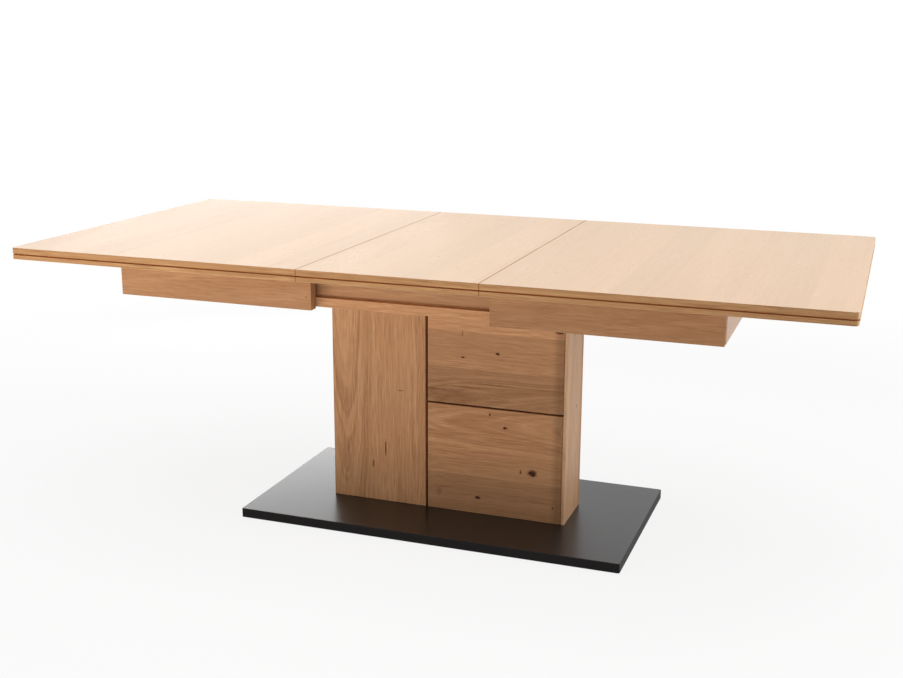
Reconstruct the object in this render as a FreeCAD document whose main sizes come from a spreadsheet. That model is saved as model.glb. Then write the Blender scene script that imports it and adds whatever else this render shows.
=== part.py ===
import FreeCAD, Part
import Sketcher
import math
import os
import re

# Extending pedestal dining table, drawn open with its loose leaf in place.
# The origin is on the floor under the middle of the table; X runs along it and the front faces -Y.

SIZES = {
    # Tabletop: two halves and the leaf between them, each of two glued boards
    "table_height": 760,
    "table_width": 1000,
    "half_length": 820,
    "leaf_length": 460,
    "top_board": 15,
    "under_board": 15,
    "shadow_groove": 4,
    "shadow_depth": 5,
    "corner_radius": 12,
    "arris_radius": 1.2,
    # Aprons under each half, with glue blocks in their outer corners
    "apron_setback": 80,
    "apron_end_setback": 278,
    "apron_height": 88,
    "apron_thickness": 26,
    "apron_arris": 2,
    "corner_block_leg": 50,
    "corner_block_lift": 18,
    # Battens that stiffen the boards from below
    "batten_width": 60,
    "batten_thickness": 17,
    "batten_clearance": 11,
    "inner_batten_inset": 40,
    "outer_batten_gap": 46,
    "leaf_batten_inset": 80,
    # Fixed rails, and the steel runners between rails and aprons
    "rail_end_clearance": 11,
    "rail_gap": 2,
    "rail_lift": 5,
    "rail_foot": 23,
    "rail_lip": 4,
    "slide_clearance": 0.3,
    "track_depth": 12,
    "track_height": 20,
    "track_wall": 2,
    "slide_bar_margin": 6,
    "slide_bar_wall": 2.5,
    # Pegs that drop from the leaf into the rails
    "peg_radius": 5,
    "peg_length": 11,
    "peg_taper": 2,
    "peg_tip_radius": 3.5,
    "peg_inset": 30,
    "peg_clearance": 0.1,
    "peg_wall": 1.9,
    # Frame on top of the column
    "beam_width": 60,
    "beam_spacing": 360,
    "head_plate_margin": 30,
    "head_plate_inset": 12,
    "head_plate_thickness": 8,
    "rail_bracket_leg": 25,
    "rail_bracket_width": 40,
    "rail_bracket_wall": 3,
    "bolt_radius": 5,
    "bolt_head_radius": 8.5,
    "bolt_head_height": 6,
    "bolt_reach": 45,
    "bolt_clearance": 0.2,
    "bolt_edge": 16,
    # Rack and pinion that keep the two halves in step
    "pinion_teeth": 20,
    "gear_module": 2.5,
    "gear_backlash": 0.2,
    "pinion_width": 11,
    "rack_height": 13,
    "rack_back": 10,
    "rack_overrun": 70,
    "rack_drop": 2,
    "gear_room": 11,
    "bracket_thickness": 3,
    "bracket_margin": 4.5,
    "axle_radius": 6,
    "axle_collar_radius": 12,
    "axle_clearance": 0.05,
    "clip_radius": 11,
    "clip_thickness": 2,
    "pinion_float": 0.3,
    # Column: a box core with end blocks, clad with boards
    "column_width": 670,
    "column_depth": 164,
    "side_board": 8,
    "side_arris": 1.5,
    "panel_thickness": 20,
    "panel_round": 8,
    "panel_arris": 1,
    "core_wall": 16,
    "end_block_margin": 15,
    "upright_groove": 7,
    "upright_groove_offset": 57,
    "level_groove": 5,
    "level_groove_height": 332,
    # Base plate on glides
    "base_length": 1060,
    "base_width": 550,
    "base_thickness": 25,
    "base_corner": 5,
    "base_arris": 2,
    "base_bolt_inset": 89,
    "bolt_head_sink": 2,
    "counterbore_clearance": 2.5,
    "glide_radius": 20,
    "glide_height": 3,
    "glide_inset": 60,
}

doc = FreeCAD.newDocument("extending_table")
sheet = doc.addObject("Spreadsheet::Sheet", "Sizes")
for row, (alias, value) in enumerate(SIZES.items(), start=1):
    sheet.set(f"A{row}", alias)
    sheet.set(f"B{row}", str(value))
    sheet.setAlias(f"B{row}", alias)
doc.recompute()

# Levels and distances that several pieces share, as formulas on the sizes.
SEAM = "(leaf_length / 2)"
TOP_UNDERSIDE = "(table_height - top_board - under_board)"
APRON_FOOT = f"({TOP_UNDERSIDE} - apron_height)"
APRON_BACK = "(table_width / 2 - apron_setback - apron_thickness)"
APRON_LENGTH = "(half_length - apron_end_setback)"
END_APRON_INSIDE = f"({SEAM} + {APRON_LENGTH} - apron_thickness)"
RAIL_FOOT = f"({APRON_FOOT} + rail_lift)"
RAIL_HEAD = f"({TOP_UNDERSIDE} - slide_clearance)"
RAIL_FACE = f"({APRON_BACK} - rail_gap)"
RAIL_LENGTH = f"(2 * ({END_APRON_INSIDE} - {SEAM} - corner_block_leg - rail_end_clearance))"
RAIL_WEB = "(2 * (peg_radius + peg_clearance + peg_wall))"
TRACK_BACK = f"({RAIL_FACE} - track_depth)"
RAIL_BACK = f"({TRACK_BACK} - {RAIL_WEB})"
RECESS_FOOT = f"({RAIL_FOOT} + rail_foot)"
TRACK_HEAD = f"({RAIL_HEAD} - rail_lip)"
TRACK_FOOT = f"({TRACK_HEAD} - track_height)"
COLUMN_FOOT = "(glide_height + base_thickness)"
COLUMN_HEAD = f"({RAIL_FOOT} - head_plate_thickness)"
COLUMN_HEIGHT = f"({COLUMN_HEAD} - {COLUMN_FOOT})"
PANEL_BACK = "(column_depth / 2 - panel_thickness)"
CORE_WIDTH = "(column_width - 2 * side_board)"
CORE_DEPTH = f"(2 * {PANEL_BACK})"
BOLT_OFFSET = f"({PANEL_BACK} - core_wall - bolt_edge)"
BASE_BOLT_X = f"({CORE_WIDTH} / 2 - core_wall - base_bolt_inset)"
BEAM_BOLT_X = "(beam_spacing / 2)"
BATTEN_FOOT = f"({TOP_UNDERSIDE} - batten_thickness)"
RACK_HEAD = f"({BATTEN_FOOT} - rack_drop)"
RACK_FOOT = f"({RACK_HEAD} - rack_height)"
BEAM_HEAD = f"({RACK_FOOT} - gear_room)"
BEAM_HEIGHT = f"({BEAM_HEAD} - {RAIL_FOOT})"
BRACKET_HEAD = f"({BEAM_HEAD} + bracket_thickness)"
PINION_FOOT = f"({RACK_FOOT} + (rack_height - pinion_width) / 2)"
PINION_HEAD = f"({PINION_FOOT} + pinion_width)"

SIDES = {"left": -1, "right": 1}
FACES = {"front": -1, "rear": 1}
pieces = []


def formula(text):
    """Turn size names into references to the sheet."""
    return re.sub(r"[a-z]\w+", lambda word: "Sizes." + word.group(), text)


def size(text):
    """Present value of a formula on the sizes."""
    return float(sheet.evalExpression(formula(text)))


def move(solid, x, y, z):
    for axis, text in zip("xyz", (x, y, z)):
        solid.setExpression(f"Placement.Base.{axis}", formula(text))


def span(side, near_end, length):
    """Start and length of a piece that lies on one side of the middle."""
    if side > 0:
        return near_end, length
    return f"-({near_end}) - ({length})", length


def centred(length):
    return f"-({length}) / 2", length


def block(name, x, y, z):
    """Square-edged block; x, y and z each give a start and a length."""
    solid = doc.addObject("Part::Box", name)
    for edge, (start, length) in zip(("Length", "Width", "Height"), (x, y, z)):
        solid.setExpression(edge, formula(length))
    move(solid, x[0], y[0], z[0])
    return solid


def rod(name, radius, x, y, z, height):
    """Upright round bar that stands on the point x, y, z."""
    solid = doc.addObject("Part::Cylinder", name)
    solid.setExpression("Radius", formula(radius))
    solid.setExpression("Height", formula(height))
    move(solid, x, y, z)
    return solid


def sketch_on(body, name, plane, level):
    """Empty sketch on one of the body's own planes, lifted to a level above it."""
    sketch = body.newObject("Sketcher::SketchObject", name)
    support = next(feature for feature in body.Origin.OriginFeatures if feature.Role == plane)
    sketch.AttachmentSupport = [(support, "")]
    sketch.MapMode = "FlatFace"
    sketch.setExpression("AttachmentOffset.Base.z", formula(level))
    return sketch


def tie(sketch, constraint, text):
    """Add a constraint whose value follows a formula."""
    sketch.setExpression(f"Constraints[{sketch.addConstraint(constraint)}]", formula(text))


def outline(body, name, plane, corners, level):
    """Closed sketch of straight lines whose corners are all set by formulas."""
    sketch = sketch_on(body, name, plane, level)
    points = [FreeCAD.Vector(size(across), size(up), 0) for across, up in corners]
    for number, point in enumerate(points):
        sketch.addGeometry(Part.LineSegment(point, points[(number + 1) % len(points)]))
    for number, (across, up) in enumerate(corners):
        following = (number + 1) % len(corners)
        sketch.addConstraint(Sketcher.Constraint("Coincident", number, 2, following, 1))
        tie(sketch, Sketcher.Constraint("DistanceX", -1, 1, number, 1, size(across)), across)
        tie(sketch, Sketcher.Constraint("DistanceY", -1, 1, number, 1, size(up)), up)
    return sketch


def pad(body, name, sketch, length):
    grown = body.newObject("PartDesign::Pad", name)
    grown.Profile = sketch
    grown.setExpression("Length", formula(length))
    return grown


def ease(body, name, base, radius, chosen):
    """Fillet of a body on those edges whose bounding box is chosen."""
    doc.recompute()
    edges = enumerate(base.Shape.Edges, start=1)
    eased = body.newObject("PartDesign::Fillet", name)
    eased.Base = (base, [f"Edge{number}" for number, edge in edges if chosen(edge.BoundBox)])
    eased.setExpression("Radius", formula(radius))
    return eased


def drill(body, name, foot, centres, radius, depth):
    """Upright round holes of one depth, bored upwards from a level foot."""
    sketch = sketch_on(body, f"{name}_circles", "XY_Plane", foot)
    for number, (x, y) in enumerate(centres):
        centre = FreeCAD.Vector(size(x), size(y), 0)
        sketch.addGeometry(Part.Circle(centre, FreeCAD.Vector(0, 0, 1), size(radius)))
        tie(sketch, Sketcher.Constraint("DistanceX", -1, 1, number, 3, centre.x), x)
        tie(sketch, Sketcher.Constraint("DistanceY", -1, 1, number, 3, centre.y), y)
        tie(sketch, Sketcher.Constraint("Radius", number, size(radius)), radius)
    pocket = body.newObject("PartDesign::Pocket", name)
    pocket.Profile = sketch
    pocket.Reversed = True
    pocket.setExpression("Length", formula(depth))


def profile_bar(name, corners, start, length):
    """Straight bar along the table with a section given by its y, z corners."""
    body = doc.addObject("PartDesign::Body", f"{name}_bar")
    pad(body, f"{name}_pad", outline(body, f"{name}_section", "YZ_Plane", corners, start), length)
    return body


def channel(y_way, web, mouth, opens, foot, head, wall):
    """Corners of a C section with its web and its mouth at two distances from the middle."""
    floor = f"({web} + {opens} * {wall})"
    low = f"({foot} + {wall})"
    high = f"({head} - {wall})"
    corners = [(web, foot), (mouth, foot), (mouth, low), (floor, low),
               (floor, high), (mouth, high), (mouth, head), (web, head)]
    return [(f"{y_way} * {across}", up) for across, up in corners]


def cut(name, base, *tools):
    """Base with the tools taken out of it, one after the other."""
    for number, tool in enumerate(tools):
        taken = doc.addObject("Part::Cut", f"{name}_cut{number}")
        taken.Base = base
        taken.Tool = tool
        base = taken
    return base


def join(name, *solids):
    joined = doc.addObject("Part::MultiFuse", f"{name}_join")
    joined.Shapes = list(solids)
    joined.Refine = True
    return joined


def group(name, solids):
    together = doc.addObject("Part::Compound", f"{name}_group")
    together.Links = solids
    return together


def rounded(name, base, radius, chosen):
    """Round those edges of base whose bounding box is chosen."""
    doc.recompute()
    amount = size(radius)
    edges = enumerate(base.Shape.Edges, start=1)
    eased = doc.addObject("Part::Fillet", f"{name}_round")
    eased.Base = base
    eased.Edges = [(number, amount, amount) for number, edge in edges if chosen(edge.BoundBox)]
    return eased


def same(a, b):
    return abs(a - b) < 0.01


def level_at(*heights):
    """Choose edges that lie flat at one of the heights."""
    return lambda box: any(same(box.ZMin, z) and same(box.ZMax, z) for z in heights)


def upright_at(x, y=None):
    """Choose upright edges at a distance along the table, and across it if given."""
    def chosen(box):
        upright = box.ZLength > 1 and same(box.XMin, x) and same(box.XMax, x) and same(box.YLength, 0)
        return upright and (y is None or same(box.YMin, y))
    return chosen


def lies_across(y):
    """Choose edges that lie in the upright plane at a distance across the table."""
    return lambda box: same(box.YMin, y) and same(box.YMax, y)


def leaving_out(chosen, spared):
    return lambda box: chosen(box) and not spared(box)


def any_of(*choices):
    return lambda box: any(chosen(box) for chosen in choices)


def keep(name, solid):
    """Name a finished piece and put it on the list to write."""
    solid.Label = name
    pieces.append(solid)


# Base plate: one slab with eased edges, bolted to the column from below through counterbores.
corners = [(f"{end}_{face}", x_way, y_way) for end, x_way in SIDES.items() for face, y_way in FACES.items()]
COUNTERBORE_DEPTH = "(bolt_head_height + bolt_head_sink)"
base_plate = doc.addObject("PartDesign::Body", "base_plate_body")
plate_corners = [(f"{x_way} * base_length / 2", f"{y_way} * base_width / 2")
                 for x_way, y_way in ((-1, -1), (1, -1), (1, 1), (-1, 1))]
base_outline = outline(base_plate, "base_outline", "XY_Plane", plate_corners, "glide_height")
base_slab = pad(base_plate, "base_slab", base_outline, "base_thickness")
base_slab = ease(base_plate, "base_corners", base_slab, "base_corner", lambda box: box.ZLength > 1)
ease(base_plate, "base_arris", base_slab, "base_arris", level_at(size(COLUMN_FOOT)))
base_bolt_centres = [(f"{x_way} * {BASE_BOLT_X}", f"{y_way} * {BOLT_OFFSET}") for _, x_way, y_way in corners]
drill(base_plate, "base_holes", "glide_height", base_bolt_centres, "bolt_radius + bolt_clearance",
      "base_thickness")
drill(base_plate, "base_counterbores", "glide_height", base_bolt_centres,
      "bolt_head_radius + counterbore_clearance", COUNTERBORE_DEPTH)
keep("base_plate", base_plate)
base_bolts = []
base_glides = []
for (corner, x_way, y_way), (bolt_x, bolt_y) in zip(corners, base_bolt_centres):
    head = rod(f"base_bolt_head_{corner}", "bolt_head_radius", bolt_x, bolt_y,
               "glide_height + bolt_head_sink", "bolt_head_height")
    shank = rod(f"base_bolt_shank_{corner}", "bolt_radius", bolt_x, bolt_y,
                f"glide_height + {COUNTERBORE_DEPTH}", f"base_thickness - {COUNTERBORE_DEPTH} + bolt_reach")
    base_bolts.append(join(f"base_bolt_{corner}", head, shank))
    base_glides.append(rod(f"glide_{corner}", "glide_radius", f"{x_way} * (base_length / 2 - glide_inset)",
                           f"{y_way} * (base_width / 2 - glide_inset)", "0", "glide_height"))
keep("base_bolts", group("base_bolts", base_bolts))
keep("base_glides", group("base_glides", base_glides))

# Column core: four boards glued into a box, with a solid block inside each end that takes the bolts.
RIB_DEPTH = f"({CORE_DEPTH} - 2 * core_wall)"
RIB_INSIDE = f"({CORE_WIDTH} / 2 - core_wall)"
core_boards = []
for face, y_way in FACES.items():
    core_boards.append(block(f"{face}_core_board", centred(CORE_WIDTH),
                             span(y_way, f"({RIB_DEPTH} / 2)", "core_wall"), (COLUMN_FOOT, COLUMN_HEIGHT)))
for end, x_way in SIDES.items():
    core_boards.append(block(f"{end}_core_rib", span(x_way, RIB_INSIDE, "core_wall"), centred(RIB_DEPTH),
                             (COLUMN_FOOT, COLUMN_HEIGHT)))
keep("column_core", group("column_core", core_boards))
HOLE_DEPTH = "(bolt_reach + bolt_clearance)"
END_BLOCK_HEIGHT = "(bolt_reach + end_block_margin)"
HEAD_BLOCK_FOOT = f"({COLUMN_HEAD} - {END_BLOCK_HEIGHT})"
HEAD_HOLE_FOOT = f"({COLUMN_HEAD} - {HOLE_DEPTH})"
for name, foot, hole_foot, bolt_x in (
        ("core_foot_block", COLUMN_FOOT, COLUMN_FOOT, BASE_BOLT_X),
        ("core_head_block", HEAD_BLOCK_FOOT, HEAD_HOLE_FOOT, BEAM_BOLT_X)):
    solid = block(f"{name}_blank", centred(f"(2 * {RIB_INSIDE})"), centred(RIB_DEPTH),
                  (foot, END_BLOCK_HEIGHT))
    holes = [rod(f"{name}_hole_{corner}", "bolt_radius + bolt_clearance", f"{x_way} * {bolt_x}",
                 f"{y_way} * {BOLT_OFFSET}", hole_foot, HOLE_DEPTH) for corner, x_way, y_way in corners]
    keep(name, cut(name, solid, *holes))

# Cladding: on each broad face an upright panel beside two level ones, with dark gaps between them.
# The rear face is the front one turned half round. A side board shows its edge beside the level panels,
# which are well rounded there, and goes in behind the upright panel of the other face.
PANEL_EDGE = f"({CORE_WIDTH} / 2)"
NARROW_PANEL = "(column_width / 2 - upright_groove_offset - upright_groove / 2)"
WIDE_PANEL = f"({PANEL_EDGE} + upright_groove_offset - upright_groove / 2)"
LOWER_PANEL = f"(level_groove_height - level_groove / 2 - {COLUMN_FOOT})"
UPPER_PANEL_FOOT = "(level_groove_height + level_groove / 2)"
for face, y_way in FACES.items():
    panel_y = span(y_way, PANEL_BACK, "panel_thickness")
    shown = y_way * size("column_depth / 2")
    narrow_x = span(y_way, "upright_groove_offset + upright_groove / 2", NARROW_PANEL)
    narrow = block(f"{face}_narrow_panel_blank", narrow_x, panel_y, (COLUMN_FOOT, COLUMN_HEIGHT))
    keep(f"{face}_narrow_panel", rounded(f"{face}_narrow_panel", narrow, "panel_arris", lies_across(shown)))
    wide_x = span(-y_way, "upright_groove / 2 - upright_groove_offset", WIDE_PANEL)
    outer_edge = upright_at(-y_way * size(PANEL_EDGE), shown)
    round_start = upright_at(-y_way * size(f"{PANEL_EDGE} - panel_round"), shown)
    for panel, foot, height in (
            ("lower_panel", COLUMN_FOOT, LOWER_PANEL),
            ("upper_panel", UPPER_PANEL_FOOT, f"({COLUMN_HEAD} - {UPPER_PANEL_FOOT})")):
        name = f"{face}_{panel}"
        wide = block(f"{name}_blank", wide_x, panel_y, (foot, height))
        wide = rounded(f"{name}_edge", wide, "panel_round", outer_edge)
        sharp_edges = leaving_out(lies_across(shown), round_start)
        keep(name, rounded(name, wide, "panel_arris", sharp_edges))
for end, x_way in SIDES.items():
    name = f"{end}_side_board"
    side_x = span(x_way, PANEL_EDGE, "side_board")
    side_y = span(-x_way, f"-{PANEL_BACK}", f"(column_depth / 2 + {PANEL_BACK})")
    solid = block(f"{name}_blank", side_x, side_y, (COLUMN_FOOT, COLUMN_HEIGHT))
    shown_edge = upright_at(x_way * size("column_width / 2"), -x_way * size("column_depth / 2"))
    keep(name, rounded(name, solid, "side_arris", shown_edge))

# Head plate and cross beams: the beams lie across the plate, and long bolts hold both to the column.
head_plate = block("head_plate_blank", centred("(beam_spacing + beam_width + 2 * head_plate_margin)"),
                   centred("(column_depth - 2 * head_plate_inset)"), (COLUMN_HEAD, "head_plate_thickness"))
plate_holes = []
beam_bolts = []
beam_holes = {"left": [], "right": []}
for corner, x_way, y_way in corners:
    bolt_x = f"{x_way} * {BEAM_BOLT_X}"
    bolt_y = f"{y_way} * {BOLT_OFFSET}"
    plate_holes.append(rod(f"plate_hole_{corner}", "bolt_radius + bolt_clearance", bolt_x, bolt_y,
                           COLUMN_HEAD, "head_plate_thickness"))
    beam_holes["left" if x_way < 0 else "right"].append(
        rod(f"beam_hole_{corner}", "bolt_radius + bolt_clearance", bolt_x, bolt_y, RAIL_FOOT, BEAM_HEIGHT))
    head = rod(f"beam_bolt_head_{corner}", "bolt_head_radius", bolt_x, bolt_y, BEAM_HEAD, "bolt_head_height")
    shank = rod(f"beam_bolt_shank_{corner}", "bolt_radius", bolt_x, bolt_y, f"{COLUMN_HEAD} - bolt_reach",
                f"bolt_reach + head_plate_thickness + {BEAM_HEIGHT}")
    beam_bolts.append(join(f"beam_bolt_{corner}", head, shank))
keep("head_plate", cut("head_plate", head_plate, *plate_holes))
keep("beam_bolts", group("beam_bolts", beam_bolts))
for end, x_way in SIDES.items():
    name = f"{end}_cross_beam"
    beam_x = (f"{x_way} * beam_spacing / 2 - beam_width / 2", "beam_width")
    solid = block(f"{name}_blank", beam_x, centred(f"(2 * {RAIL_BACK})"), (RAIL_FOOT, BEAM_HEIGHT))
    keep(name, cut(name, solid, *beam_holes[end]))

# Rails: each has a long recess in its outer face, with the steel track under its upper lip and two peg
# sockets on top. Steel angles hold the rails to the ends of the beams.
PEG_X = f"({SEAM} - peg_inset)"
PEG_Y = f"({RAIL_BACK} + {RAIL_WEB} / 2)"
RAIL_X = centred(RAIL_LENGTH)
for face, y_way in FACES.items():
    rebate = [(RAIL_BACK, RAIL_FOOT), (RAIL_FACE, RAIL_FOOT), (RAIL_FACE, RECESS_FOOT),
              (TRACK_BACK, RECESS_FOOT), (TRACK_BACK, TRACK_HEAD), (RAIL_FACE, TRACK_HEAD),
              (RAIL_FACE, RAIL_HEAD), (RAIL_BACK, RAIL_HEAD)]
    section = [(f"{y_way} * {across}", up) for across, up in rebate]
    solid = profile_bar(f"{face}_rail", section, *RAIL_X)
    sockets = [rod(f"{face}_socket_{end}", "peg_radius + peg_clearance", f"{x_way} * {PEG_X}",
                   f"{y_way} * {PEG_Y}", f"{TOP_UNDERSIDE} - peg_length - slide_clearance",
                   "peg_length + slide_clearance") for end, x_way in SIDES.items()]
    keep(f"{face}_rail", cut(f"{face}_rail", solid, *sockets))
    section = channel(y_way, TRACK_BACK, RAIL_FACE, 1, TRACK_FOOT, TRACK_HEAD, "track_wall")
    keep(f"{face}_track", profile_bar(f"{face}_track", section, *RAIL_X))
rail_brackets = []
BRACKET_TOE = f"({RAIL_BACK} - rail_bracket_leg)"
BRACKET_FLANK = f"({RAIL_BACK} - rail_bracket_wall)"
BRACKET_TREAD = f"({BEAM_HEAD} + rail_bracket_wall)"
BRACKET_TIP = f"({BEAM_HEAD} + rail_bracket_leg)"
for corner, x_way, y_way in corners:
    angle = [(RAIL_BACK, BEAM_HEAD), (RAIL_BACK, BRACKET_TIP), (BRACKET_FLANK, BRACKET_TIP),
             (BRACKET_FLANK, BRACKET_TREAD), (BRACKET_TOE, BRACKET_TREAD), (BRACKET_TOE, BEAM_HEAD)]
    section = [(f"{y_way} * {across}", up) for across, up in angle]
    start = f"{x_way} * {BEAM_BOLT_X} - rail_bracket_width / 2"
    rail_brackets.append(profile_bar(f"rail_bracket_{corner}", section, start, "rail_bracket_width"))
keep("rail_brackets", group("rail_brackets", rail_brackets))

# Pinion carrier: a strip across the beams, a shouldered axle on it and a clip over the pinion.
bracket = block("bracket_strip", centred("(beam_spacing + beam_width)"),
                centred(f"(2 * ({BOLT_OFFSET} - bolt_head_radius - bracket_margin))"),
                (BEAM_HEAD, "bracket_thickness"))
keep("pinion_bracket", bracket)
AXLE_SHOULDER = f"({PINION_FOOT} - pinion_float)"
CLIP_FOOT = f"({PINION_HEAD} + pinion_float)"
CLIP_HEAD = f"({CLIP_FOOT} + clip_thickness)"
axle = doc.addObject("PartDesign::Body", "pinion_axle_body")
axle_steps = [("0", BRACKET_HEAD), ("axle_collar_radius", BRACKET_HEAD),
              ("axle_collar_radius", AXLE_SHOULDER), ("axle_radius", AXLE_SHOULDER),
              ("axle_radius", CLIP_HEAD), ("0", CLIP_HEAD)]
turned = axle.newObject("PartDesign::Revolution", "axle_turned")
turned.Profile = outline(axle, "axle_steps", "XZ_Plane", axle_steps, "0")
turned.ReferenceAxis = (turned.Profile[0], ["V_Axis"])
turned.Angle = 360
keep("pinion_axle", axle)
clip_disc = rod("clip_disc", "clip_radius", "0", "0", CLIP_FOOT, "clip_thickness")
clip_hole = rod("clip_hole", "axle_radius", "0", "0", CLIP_FOOT, "clip_thickness")
keep("axle_clip", cut("axle_clip", clip_disc, clip_hole))

# Gear teeth: involute flanks on the pinion and straight flanks on the racks, at 20 degrees.
PRESSURE_ANGLE = math.radians(20)
FLANK_STEPS = 4
ADDENDUM = 1.0
DEDENDUM = 1.25
module = size("gear_module")
teeth = int(size("pinion_teeth"))
pitch_radius = module * teeth / 2
tooth_pitch = math.pi * module
half_tooth = tooth_pitch / 4 - size("gear_backlash") / 4


def involute(angle):
    return math.tan(angle) - angle


def polar(radius, angle):
    return FreeCAD.Vector(radius * math.cos(angle), radius * math.sin(angle), 0)


def prism(points, foot, height):
    """Straight-sided solid on a closed outline in the level plane."""
    outline = Part.makePolygon(points + points[:1])
    solid = Part.Face(outline).extrude(FreeCAD.Vector(0, 0, height))
    solid.translate(FreeCAD.Vector(0, 0, foot))
    return solid


def pinion_outline():
    base_radius = pitch_radius * math.cos(PRESSURE_ANGLE)
    tip_radius = pitch_radius + ADDENDUM * module
    root_radius = pitch_radius - DEDENDUM * module
    points = []
    for tooth in range(teeth):
        middle = 2 * math.pi * tooth / teeth
        flank = []
        for step in range(FLANK_STEPS + 1):
            radius = base_radius + (tip_radius - base_radius) * step / FLANK_STEPS
            spread = involute(PRESSURE_ANGLE) - involute(math.acos(base_radius / radius))
            flank.append((radius, half_tooth / pitch_radius + spread))
        flank.insert(0, (root_radius, flank[0][1]))
        points += [polar(radius, middle - angle) for radius, angle in flank]
        points += [polar(radius, middle + angle) for radius, angle in reversed(flank)]
    return points


def rack_outline(start, end, teeth_start):
    """Toothed bar along X with its pitch line at Y 0 and its teeth towards +Y."""
    tip = ADDENDUM * module
    root = -DEDENDUM * module
    back = root - size("rack_back")
    slope = math.tan(PRESSURE_ANGLE)
    points = [FreeCAD.Vector(end, back, 0), FreeCAD.Vector(start, back, 0), FreeCAD.Vector(start, root, 0)]
    number = math.ceil(teeth_start / tooth_pitch)
    while (number + 1) * tooth_pitch < end:
        middle = (number + 0.5) * tooth_pitch
        for offset, level in ((-half_tooth + slope * root, root), (-half_tooth + slope * tip, tip),
                              (half_tooth - slope * tip, tip), (half_tooth - slope * root, root)):
            points.append(FreeCAD.Vector(middle + offset, level, 0))
        number += 1
    points.append(FreeCAD.Vector(end, root, 0))
    return points


sync_pinion = doc.addObject("Part::Feature", "sync_pinion_shape")
bore = Part.makeCylinder(size("axle_radius + axle_clearance"), size("pinion_width"),
                         FreeCAD.Vector(0, 0, size(PINION_FOOT)))
sync_pinion.Shape = prism(pinion_outline(), size(PINION_FOOT), size("pinion_width")).cut(bore)
keep("sync_pinion", sync_pinion)


def rack_shape():
    """Left rack: a toothed bar that hangs from the inner batten by a raised foot."""
    outer = size(f"-({SEAM} + inner_batten_inset + batten_width)")
    inner = size(f"-({SEAM} + inner_batten_inset)")
    bar = prism(rack_outline(outer, size("rack_overrun"), inner), size(RACK_FOOT), size("rack_height"))
    root = -DEDENDUM * module
    foot = Part.makeBox(inner - outer, size("rack_back"), size("rack_drop"),
                        FreeCAD.Vector(outer, root - size("rack_back"), size(RACK_HEAD)))
    solid = bar.fuse(foot).removeSplitter()
    solid.translate(FreeCAD.Vector(0, -pitch_radius, 0))
    return solid


# Tabletop boards: an upper board over an under board whose rebate leaves the dark line round the edge.
def tabletop(name, board_x, rebate_x, outer_ends, seams):
    upper = block(f"{name}_upper", board_x, centred("table_width"),
                  ("table_height - top_board", "top_board"))
    lower = block(f"{name}_lower", board_x, centred("table_width"),
                  (TOP_UNDERSIDE, "under_board - shadow_groove"))
    for x in outer_ends:
        upper = rounded(f"{name}_upper_corners", upper, "corner_radius", upright_at(x))
        lower = rounded(f"{name}_lower_corners", lower, "corner_radius", upright_at(x))
    at_seam = [upright_at(x) for x in seams]
    upper_edges = any_of(level_at(size("table_height")), *at_seam)
    lower_edges = any_of(level_at(size(TOP_UNDERSIDE)), *at_seam)
    upper = rounded(f"{name}_upper_arris", upper, "arris_radius", upper_edges)
    lower = rounded(f"{name}_lower_arris", lower, "arris_radius", lower_edges)
    neck = block(f"{name}_neck", rebate_x, centred("(table_width - 2 * shadow_depth)"),
                 ("table_height - top_board - shadow_groove", "shadow_groove"))
    keep(f"{name}_top_board", upper)
    keep(f"{name}_under_board", join(f"{name}_under_board", lower, neck))


def batten(name, x):
    keep(name, block(name, x, centred(f"(2 * ({RAIL_BACK} - batten_clearance))"),
                     (BATTEN_FOOT, "batten_thickness")))


# Leaf: its battens lie between the rails, and four pegs drop into the sockets of the rails.
tabletop("leaf", centred("leaf_length"), centred("leaf_length"), (), (-size(SEAM), size(SEAM)))
for end, x_way in SIDES.items():
    batten(f"leaf_{end}_batten", span(x_way, f"({SEAM} - leaf_batten_inset - batten_width)", "batten_width"))
pegs = []
for corner, x_way, y_way in corners:
    peg_x = f"{x_way} * {PEG_X}"
    peg_y = f"{y_way} * {PEG_Y}"
    stem = rod(f"peg_stem_{corner}", "peg_radius", peg_x, peg_y, f"{TOP_UNDERSIDE} - peg_length + peg_taper",
               "peg_length - peg_taper")
    tip = doc.addObject("Part::Cone", f"peg_tip_{corner}")
    for edge, text in (("Radius1", "peg_tip_radius"), ("Radius2", "peg_radius"), ("Height", "peg_taper")):
        tip.setExpression(edge, formula(text))
    move(tip, peg_x, peg_y, f"{TOP_UNDERSIDE} - peg_length")
    pegs.append(join(f"peg_{corner}", stem, tip))
keep("leaf_pegs", group("leaf_pegs", pegs))

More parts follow.
